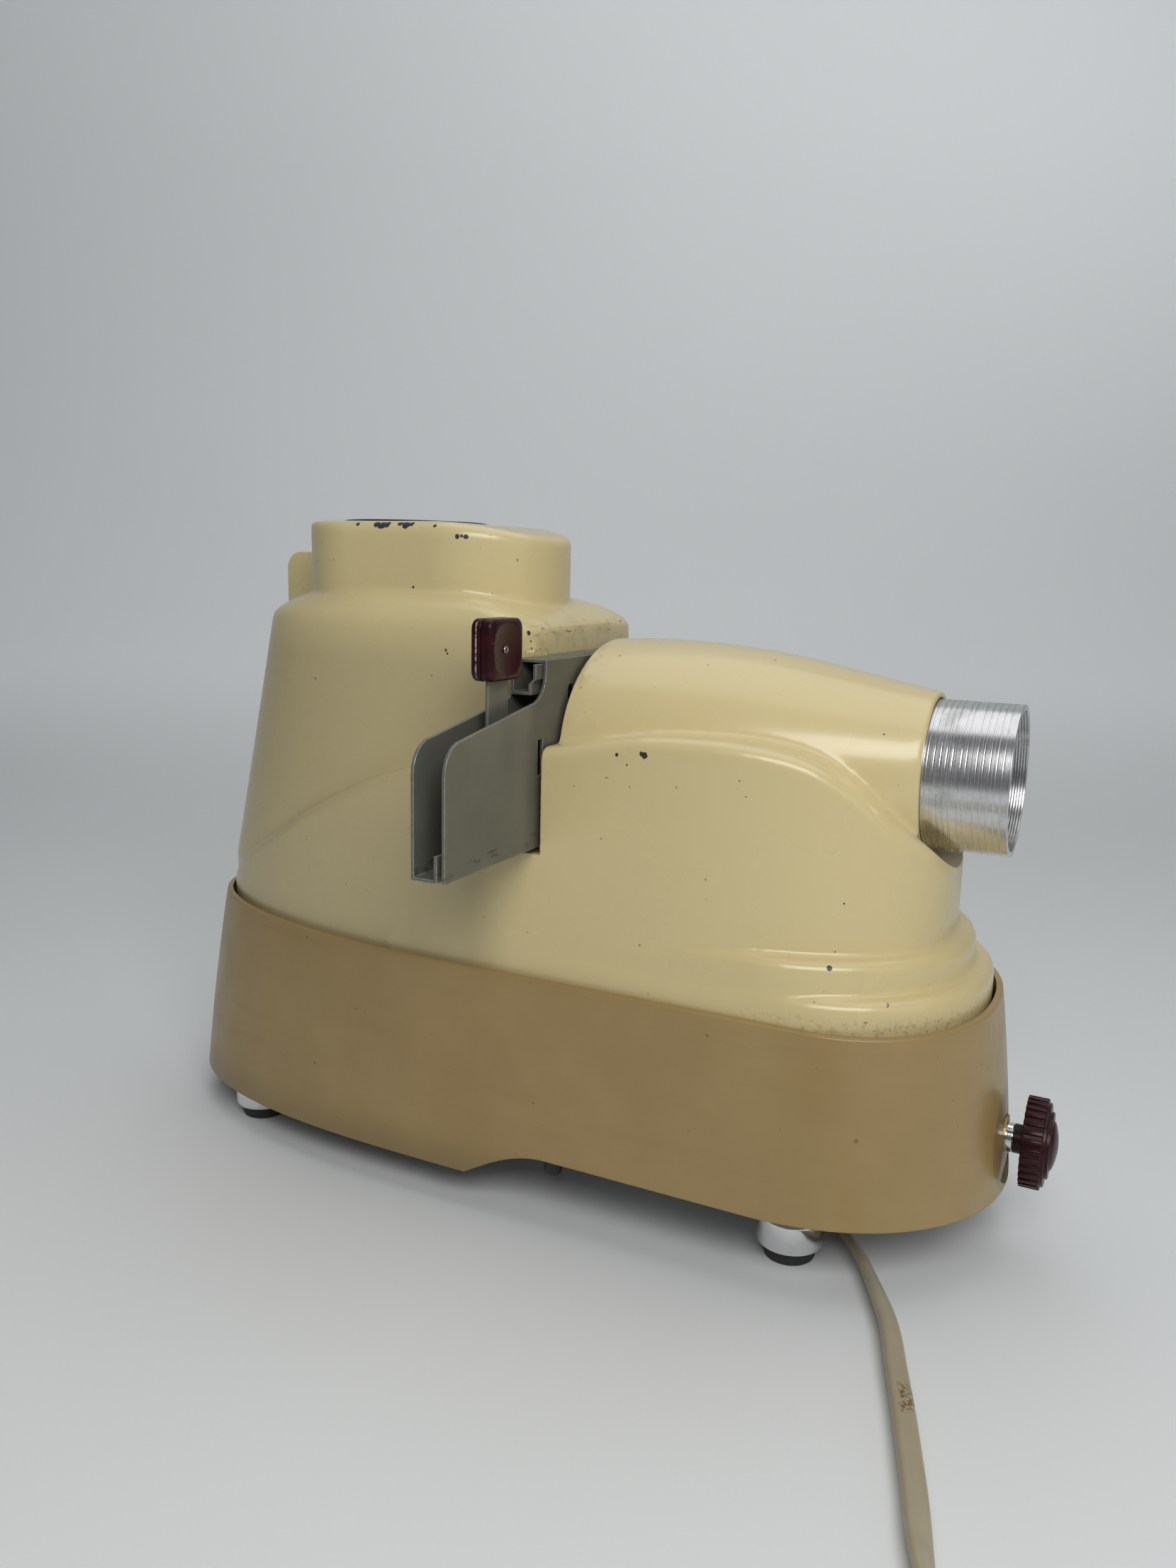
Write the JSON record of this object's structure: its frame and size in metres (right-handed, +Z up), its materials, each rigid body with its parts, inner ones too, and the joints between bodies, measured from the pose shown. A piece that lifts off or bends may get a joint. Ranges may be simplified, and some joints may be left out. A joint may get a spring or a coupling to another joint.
{
  "type": "slide projector",
  "caption": "Compact slide projector: die-cast lamphouse and nose on a moulded base, sliding focus lens, push-through slide changer, rack-raised front feet, vented chimney and mains cord.",
  "frame": {"origin": "on the surface the feet stand on, under the middle of the projector's overall length and width without its free cord", "axes": "+X is the way the lens looks, +Y is to the slide changer's exit side, +Z is up"},
  "size_m": [0.3685, 0.4401, 0.2505],
  "materials": {
    "cream_enamel": "gloss cream enamel with a light orange peel",
    "tan_plastic": "moulded tan plastic",
    "grey_enamel": "grey-green enamel worn bright along the edges",
    "maroon_plastic": "dark maroon moulded plastic",
    "black_enamel": "black enamel",
    "black_plastic": "black moulded plastic",
    "aluminium": "turned bare aluminium",
    "chrome": "polished chrome plate",
    "steel": "plated steel",
    "rubber": "black rubber",
    "brass": "brass",
    "felt": "black felt lining",
    "clear_glass": "polished glass",
    "cream_cord": "cream flexible plastic"
  },
  "bodies": {
    "housing": {"body_casting": "cream_enamel", "rear_fin": "cream_enamel", "base_skirt": "tan_plastic", "changer_front_plate": "grey_enamel", "changer_back_plate": "grey_enamel", "changer_top_guide": "grey_enamel", "vent_disc": "black_enamel", "condenser_holder": "black_enamel", "lamp_socket": "black_plastic", "switch_body": "black_plastic", "strain_relief": "black_plastic", "lamp_reflector": "aluminium", "condenser_front_lens": "clear_glass", "condenser_rear_lens": "clear_glass", "heat_glass": "clear_glass", "lamp": "clear_glass", "nose_bush": "felt", "bottom_plate": "steel", "lamp_deck": "steel", "deck_post_rear_near": "steel", "deck_post_rear_far": "steel", "deck_post_front_near": "steel", "deck_post_front_far": "steel", "reflector_post": "steel", "fan_motor": "steel", "shaft_bearing": "steel", "switch_nut": "steel", "shaft_bush": "brass", "foot_rear_near": "chrome", "foot_rear_far": "chrome", "pad_rear_near": "rubber", "pad_rear_far": "rubber", "cord": "cream_cord", "cord_coil": "cream_cord", "plug_body": "cream_cord", "plug_blade_near": "brass", "plug_blade_far": "brass"},
    "lens": {"lens_barrel": "aluminium", "lens_front_glass": "clear_glass", "lens_rear_glass": "clear_glass", "lens_front_retainer": "black_enamel", "lens_rear_retainer": "black_enamel"},
    "pusher": {"pusher_arm": "grey_enamel", "pusher_knob_front": "maroon_plastic", "pusher_knob_rear": "maroon_plastic", "pusher_rivet": "brass"},
    "knob": {"elevating_knob": "maroon_plastic", "elevating_shaft": "steel"},
    "front_leg": {"front_leg_bar": "steel", "foot_front_near": "chrome", "foot_front_far": "chrome", "pad_front_near": "rubber", "pad_front_far": "rubber"},
    "switch": {"switch_lever": "black_plastic"},
    "fan": {"fan_wheel": "aluminium", "fan_shaft": "steel"}
  },
  "joints": [
    {"name": "lens_focus", "type": "slide", "parent": "housing", "child": "lens", "axis": [1, 0, 0], "range_m": [-0.018, 0.02]},
    {"name": "pusher_slide", "type": "slide", "parent": "housing", "child": "pusher", "axis": [0, 1, 0], "range_m": [-0.033, 0.005]},
    {"name": "knob_turn", "type": "hinge", "parent": "housing", "child": "knob", "pos_m": [0.15705, 0.01765, 0.0432], "axis": [1, 0, 0], "range_deg": [-92, 0]},
    {"name": "leg_slide", "type": "slide", "parent": "housing", "child": "front_leg", "axis": [0, 0, 1], "range_m": [-0.0099, 0]},
    {"name": "switch_tilt", "type": "hinge", "parent": "housing", "child": "switch", "pos_m": [0.01355, -0.03035, 0.029], "axis": [0, 1, 0], "range_deg": [-18, 0]},
    {"name": "fan_spin", "type": "hinge", "parent": "housing", "child": "fan", "pos_m": [-0.08235, 0.01765, 0.06], "axis": [0, 0, 1], "continuous": true}
  ],
  "couplings": [
    {"joint": "knob_turn", "follows": "leg_slide", "rad_per_m": 161.29}
  ]
}
